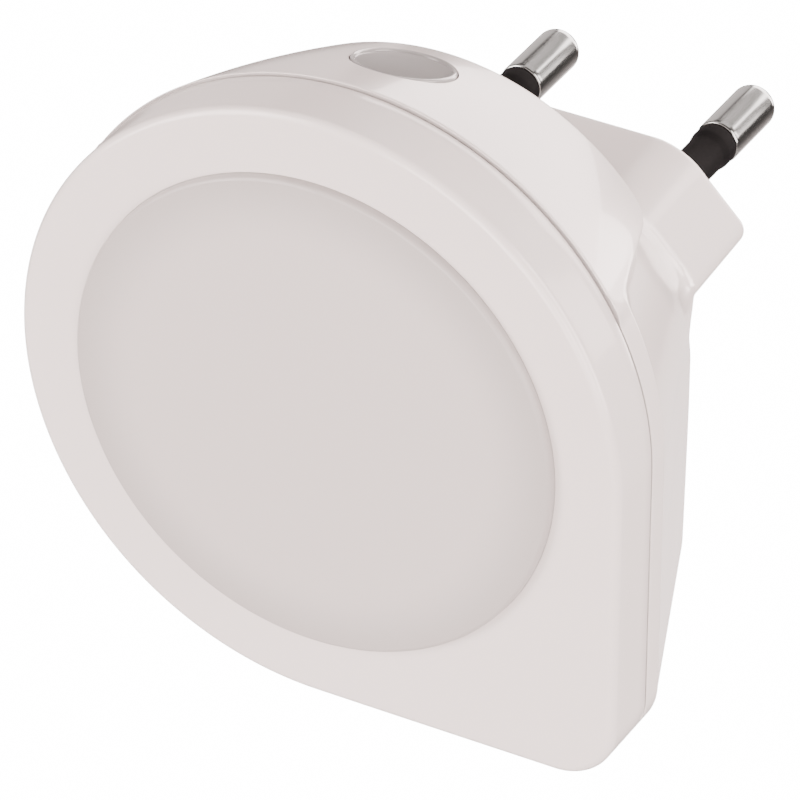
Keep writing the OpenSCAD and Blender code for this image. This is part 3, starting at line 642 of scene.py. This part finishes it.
def finish(name, colour, roughness=0.4, mottle=0.02, spread=0.06, grainSize=4000.0, patchSize=90.0,
           bump=0.02, bumpDepth=0.00002, stretch=(1, 1, 1), **shader):
    # A material with the shared grain; the rest goes straight onto the shader's sockets.
    material = bpy.data.materials.new(name)
    material.use_nodes = True
    nodes, link = material.node_tree.nodes, material.node_tree.links.new
    surface = nodes["Principled BSDF"]
    place = nodes.new("ShaderNodeTexCoord")
    scale = nodes.new("ShaderNodeMapping")
    scale.inputs["Scale"].default_value = stretch
    link(place.outputs["Object"], scale.inputs["Vector"])
    grain = nodes.new("ShaderNodeGroup")
    grain.node_tree = grainGroup
    for socket, value in (("Colour", (*colour, 1)), ("Mottle", mottle), ("Roughness", roughness),
                          ("Roughness spread", spread), ("Grain size", grainSize),
                          ("Patch size", patchSize)):
        grain.inputs[socket].default_value = value
    link(scale.outputs["Vector"], grain.inputs["Vector"])
    link(grain.outputs["Colour"], surface.inputs["Base Color"])
    link(grain.outputs["Roughness"], surface.inputs["Roughness"])
    relief = nodes.new("ShaderNodeBump")
    relief.inputs["Strength"].default_value = bump
    relief.inputs["Distance"].default_value = bumpDepth
    link(grain.outputs["Height"], relief.inputs["Height"])
    link(relief.outputs["Normal"], surface.inputs["Normal"])
    for socket, value in shader.items():
        surface.inputs[socket.replace("_", " ")].default_value = value
    return material


white, opal = (0.78, 0.735, 0.715), (0.555, 0.525, 0.51)
whitePlastic = finish("whiteCasePlastic", white, 0.22, 0.012, 0.04, bump=0.03,
                      Coat_Weight=0.32, Coat_Roughness=0.04)
opalPlastic = finish("opalDiscPlastic", opal, 0.34, 0.01, 0.04, bump=0.03)
windowPlastic = finish("sensorLensPlastic", (0.36, 0.355, 0.35), 0.18, 0.06, 0.08, bump=0.02,
                       Coat_Weight=0.6)
sleevePlastic = finish("blackSleevePlastic", (0.0035, 0.0033, 0.0036), 0.65, 0.1, 0.1, bump=0.1,
                       Specular_IOR_Level=0.08)
pinMetal = finish("nickelPlate", (0.405, 0.435, 0.43), 0.17, 0.05, 0.08, 9000.0, 200.0, bump=0.05,
                  stretch=(1, 0.06, 1), Metallic=1.0)
nodeFinishes = {
    "reflector": finish("whiteReflector", (0.85, 0.84, 0.82), 0.45),
    "led_board": finish("whiteBoard", (0.82, 0.83, 0.80), 0.4, patchSize=300.0),
    "leds": finish("ledResin", (0.90, 0.72, 0.20), 0.3, 0.1),
    "driver_board": finish("greenBoard", (0.03, 0.14, 0.06), 0.35, 0.25, patchSize=700.0),
    "film_capacitor": finish("filmCapacitorCase", (0.55, 0.24, 0.02), 0.35, 0.08),
    "smoothing_capacitor": finish("capacitorSleeve", (0.02, 0.025, 0.06), 0.3, 0.1),
    "bridge_rectifier": finish("chipResin", (0.015, 0.015, 0.017), 0.55, 0.2, bump=0.3),
    "fusible_resistor": finish("resistorLacquer", (0.28, 0.45, 0.55), 0.35, 0.08),
    "bleeder_resistors": finish("chipGlaze", (0.02, 0.02, 0.022), 0.4, 0.1),
    "zener_diode": finish("diodeGlass", (0.45, 0.05, 0.02), 0.12, 0.15, Coat_Weight=0.8),
    "transistor": finish("transistorResin", (0.013, 0.013, 0.015), 0.5, 0.2, bump=0.2),
    "photoresistor": finish("cellCeramic", (0.50, 0.16, 0.07), 0.45, 0.25, patchSize=900.0),
    "sensor_tube": finish("tubeFoam", (0.015, 0.015, 0.015), 0.85, 0.3, bump=0.5),
    "pin_clamp": finish("clampPlastic", (0.60, 0.57, 0.52), 0.5, 0.05),
    "clamp_screw": finish("zincScrew", (0.62, 0.62, 0.63), 0.3, 0.12, 0.15, Metallic=1.0),
    "board_links": finish("solderTin", (0.70, 0.70, 0.68), 0.35, 0.1, Metallic=1.0),
}
nodeFinishes["board_screws"] = nodeFinishes["case_screw"] = nodeFinishes["clamp_screw"]


def paintShade(material, mask, colour, share):
    # Paints shade into the colour: where the mask is 1 the colour is share of itself; the grain
    # works on the result.
    nodes, link = material.node_tree.nodes, material.node_tree.links.new
    grain = next(n for n in nodes if n.type == "GROUP")
    tone = nodes.new("ShaderNodeMix")
    tone.data_type = "RGBA"
    tone.inputs[6].default_value = (*colour, 1)
    tone.inputs[7].default_value = (*(c * share for c in colour), 1)
    link(mask, tone.inputs["Factor"])
    link(tone.outputs[2], grain.inputs["Colour"])


def objectPlace(material):
    # The socket with each point's place in the piece's own coordinates, in metres.
    return next(n for n in material.node_tree.nodes if n.type == "TEX_COORD").outputs["Object"]


# Millimetres: the radii on the disc between which its painted shade grows, and how far the seam's
# painted shade reaches beside its gap.
discPaintedShade = {"from": 16.0, "to": 22.5, "share": 0.76}
seamPaintedShade = {"beside": 0.01, "share": 0.62}


def paintDiscRimShade():
    # Painted shade: the thick wall behind the disc's edge keeps light from it, so its colour is
    # painted darker, smoothly from one radius to another.
    nodes, link = opalPlastic.node_tree.nodes, opalPlastic.node_tree.links.new
    flat, reach = nodes.new("ShaderNodeVectorMath"), nodes.new("ShaderNodeVectorMath")
    ramp = nodes.new("ShaderNodeMapRange")
    flat.operation, reach.operation = "MULTIPLY", "LENGTH"
    flat.inputs[1].default_value = (1, 0, 1)
    ramp.interpolation_type = "SMOOTHSTEP"
    ramp.inputs["From Min"].default_value = discPaintedShade["from"] * mm
    ramp.inputs["From Max"].default_value = discPaintedShade["to"] * mm
    link(objectPlace(opalPlastic), flat.inputs[0])
    link(flat.outputs["Vector"], reach.inputs[0])
    link(reach.outputs["Value"], ramp.inputs["Value"])
    paintShade(opalPlastic, ramp.outputs["Result"], opal, discPaintedShade["share"])


def paintSeamShade():
    # Painted shade: little light reaches the faces in the gap between the two shells, so their
    # colour is painted darker.
    nodes, link = whitePlastic.node_tree.nodes, whitePlastic.node_tree.links.new
    axes = nodes.new("ShaderNodeSeparateXYZ")
    halfGap = case["gap"] / 2
    middle, reach = (case["seam"] + halfGap) * mm, (halfGap + seamPaintedShade["beside"]) * mm
    inGap = newMath(nodes, "COMPARE", middle, reach)
    link(objectPlace(whitePlastic), axes.inputs["Vector"])
    link(axes.outputs["Y"], inGap.inputs[0])
    paintShade(whitePlastic, inGap.outputs["Value"], white, seamPaintedShade["share"])


# Painted shade on the disc's rim.
paintDiscRimShade()
# Painted shade in the seam's gap.
paintSeamShade()


def paint(piece, material):
    # Gives the piece this one material.
    piece.data.materials.clear()
    piece.data.materials.append(material)


for nodeName, material in nodeFinishes.items():
    paint(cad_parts[nodeName], material)

dressed = [
    (backShell, whitePlastic, "back_shell", "white_plastic"),
    (frontShell, whitePlastic, "front_shell", "white_plastic"),
    (litDisc, opalPlastic, "diffuser", "opal_plastic"),
    (sensorLens, windowPlastic, "sensor_window", "window_plastic"),
    (pins[0], pinMetal, "left_pin", "pin_metal"),
    (pins[1], pinMetal, "right_pin", "pin_metal"),
    (sleeves[0], sleevePlastic, "left_sleeve", "black_plastic"),
    (sleeves[1], sleevePlastic, "right_sleeve", "black_plastic"),
]
for piece, material, nodeName, slotName in dressed:
    paint(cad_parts[nodeName], material)
    paint(piece, material)
    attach(piece, "root")
    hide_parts(nodeName)
print("materials")

# Lengths in metres. The soft boxes stand at reach from the centre.
studio = {
    "floorDrop": 0.80, "floorSize": 6.0, "floorColour": (0.35, 0.34, 0.335),
    "sky": 0.2, "backdrop": 16.0, "tint": (1.0, 0.86, 0.83), "reach": 1.2, "centre": (0, -0.03, 0),
}
# Each soft box: azimuth from +X towards +Y, elevation, width, height, brightness.
softBoxes = {
    "right": (0, 20, 0.6, 1.2, 14.8),
    "frontRight": (315, 5, 0.6, 0.6, 13.2),
    "front": (270, -2, 0.6, 0.8, 13.4),
    "frontLeft": (225, 15, 0.6, 1.1, 15.4),
    "left": (180, 5, 0.6, 0.6, 2.0),
    "behind": (86, 15, 1.14, 0.7, 9.9),
    "behindLeft": (130, 3, 0.55, 0.9, 1.3),
    "behindTop": (85, 47, 0.8, 0.4, 1.4),
    "behindSpot": (73, -8, 0.34, 0.3, 14.0),
    "behindLow": (106, -36, 0.6, 0.35, 1.6),
    "stripe": (47, 11, 0.14, 0.5, 9.0),
    "top": (160, 66, 0.6, 0.6, 2.0),
}


def seenWhite(tree, shader, out):
    # Straight to the camera it is plain white; the light it gives and reflects stays as it is.
    nodes, link = tree.nodes, tree.links.new
    glow, pick = nodes.new("ShaderNodeEmission"), nodes.new("ShaderNodeMixShader")
    path = nodes.new("ShaderNodeLightPath")
    glow.inputs["Strength"].default_value = studio["backdrop"]
    link(path.outputs["Is Camera Ray"], pick.inputs["Fac"])
    link(shader, pick.inputs[1])
    link(glow.outputs["Emission"], pick.inputs[2])
    link(pick.outputs["Shader"], out)


def makeFloor():
    # A pale square below the light, which reflects the soft boxes and is itself seen as white.
    size, height = studio["floorSize"], -studio["floorDrop"]
    mesh = bpy.data.meshes.new("floor")
    corners = ((-size, -size), (size, -size), (size, size), (-size, size))
    mesh.from_pydata([(x, y, height) for x, y in corners], [], [(0, 1, 2, 3)])
    floor = bpy.data.objects.new("floor", mesh)
    bpy.context.scene.collection.objects.link(floor)
    pale = finish("paleFloor", studio["floorColour"], 0.8, 0.0, 0.0, bump=0.0)
    nodes = pale.node_tree.nodes
    out = nodes["Material Output"].inputs["Surface"]
    seenWhite(pale.node_tree, nodes["Principled BSDF"].outputs["BSDF"], out)
    paint(floor, pale)


def makeSky():
    # The room between the soft boxes is nearly dark, so that they show as stripes in the metal.
    world = bpy.data.worlds.new("studio")
    bpy.context.scene.world = world
    world.use_nodes = True
    nodes = world.node_tree.nodes
    back = nodes["Background"]
    back.inputs["Color"].default_value = (*studio["tint"], 1)
    back.inputs["Strength"].default_value = studio["sky"]
    out = nodes["World Output"].inputs["Surface"]
    seenWhite(world.node_tree, back.outputs["Background"], out)


def softBox(name, azimuth, elevation, width, height, brightness):
    # A rectangle that faces the centre; its power is pi times its area times its brightness.
    a, e = math.radians(azimuth), math.radians(elevation)
    way = Vector((math.cos(e) * math.cos(a), math.cos(e) * math.sin(a), math.sin(e)))
    lamp = bpy.data.lights.new(name, "AREA")
    lamp.shape, lamp.size, lamp.size_y = "RECTANGLE", width, height
    lamp.energy = math.pi * width * height * brightness
    lamp.color = studio["tint"]
    holder = bpy.data.objects.new(name, lamp)
    holder.location = Vector(studio["centre"]) + way * studio["reach"]
    holder.rotation_mode = "QUATERNION"
    holder.rotation_quaternion = (-way).to_track_quat("-Z", "Y")
    bpy.context.scene.collection.objects.link(holder)


makeFloor()
makeSky()
for boxName, values in softBoxes.items():
    softBox(boxName, *values)

# Angles in degrees, lengths in millimetres; right and up slide the camera across its own view.
camera = {
    "azimuth": 28.75, "elevation": 33.77, "roll": 0.34, "target": (0, -42, 0), "distance": 605.0,
    "right": 6.92, "up": 1.14, "lens": 337.5, "sensor": 36, "clip": (0.01, 50),
}


def makeCamera():
    # It looks along azimuth and elevation at the target, from the distance; right and up are turned
    # by the roll first, and the place is then moved along them.
    a, e, r = (math.radians(camera[k]) for k in ("azimuth", "elevation", "roll"))
    right = Vector((math.cos(a), math.sin(a), 0))
    up = Vector((-math.sin(a) * math.sin(e), math.cos(a) * math.sin(e), math.cos(e)))
    ahead = Vector((-math.sin(a) * math.cos(e), math.cos(a) * math.cos(e), -math.sin(e)))
    right, up = math.cos(r) * right + math.sin(r) * up, -math.sin(r) * right + math.cos(r) * up
    aside = right * camera["right"] + up * camera["up"]
    place = Vector(camera["target"]) + aside - ahead * camera["distance"]
    data = bpy.data.cameras.new("camera")
    data.lens, data.sensor_width = camera["lens"], camera["sensor"]
    data.clip_start, data.clip_end = camera["clip"]
    holder = bpy.data.objects.new("camera", data)
    turn = Matrix((right, up, -ahead)).transposed().to_4x4()
    holder.matrix_world = Matrix.Translation(place * mm) @ turn
    bpy.context.scene.collection.objects.link(holder)
    bpy.context.scene.camera = holder


makeCamera()
print("floor, lights and camera")
bpy.context.view_layer.update()
print("triangles", {o.name: sum(len(p.vertices) - 2 for p in o.data.polygons) for o, *_ in dressed})
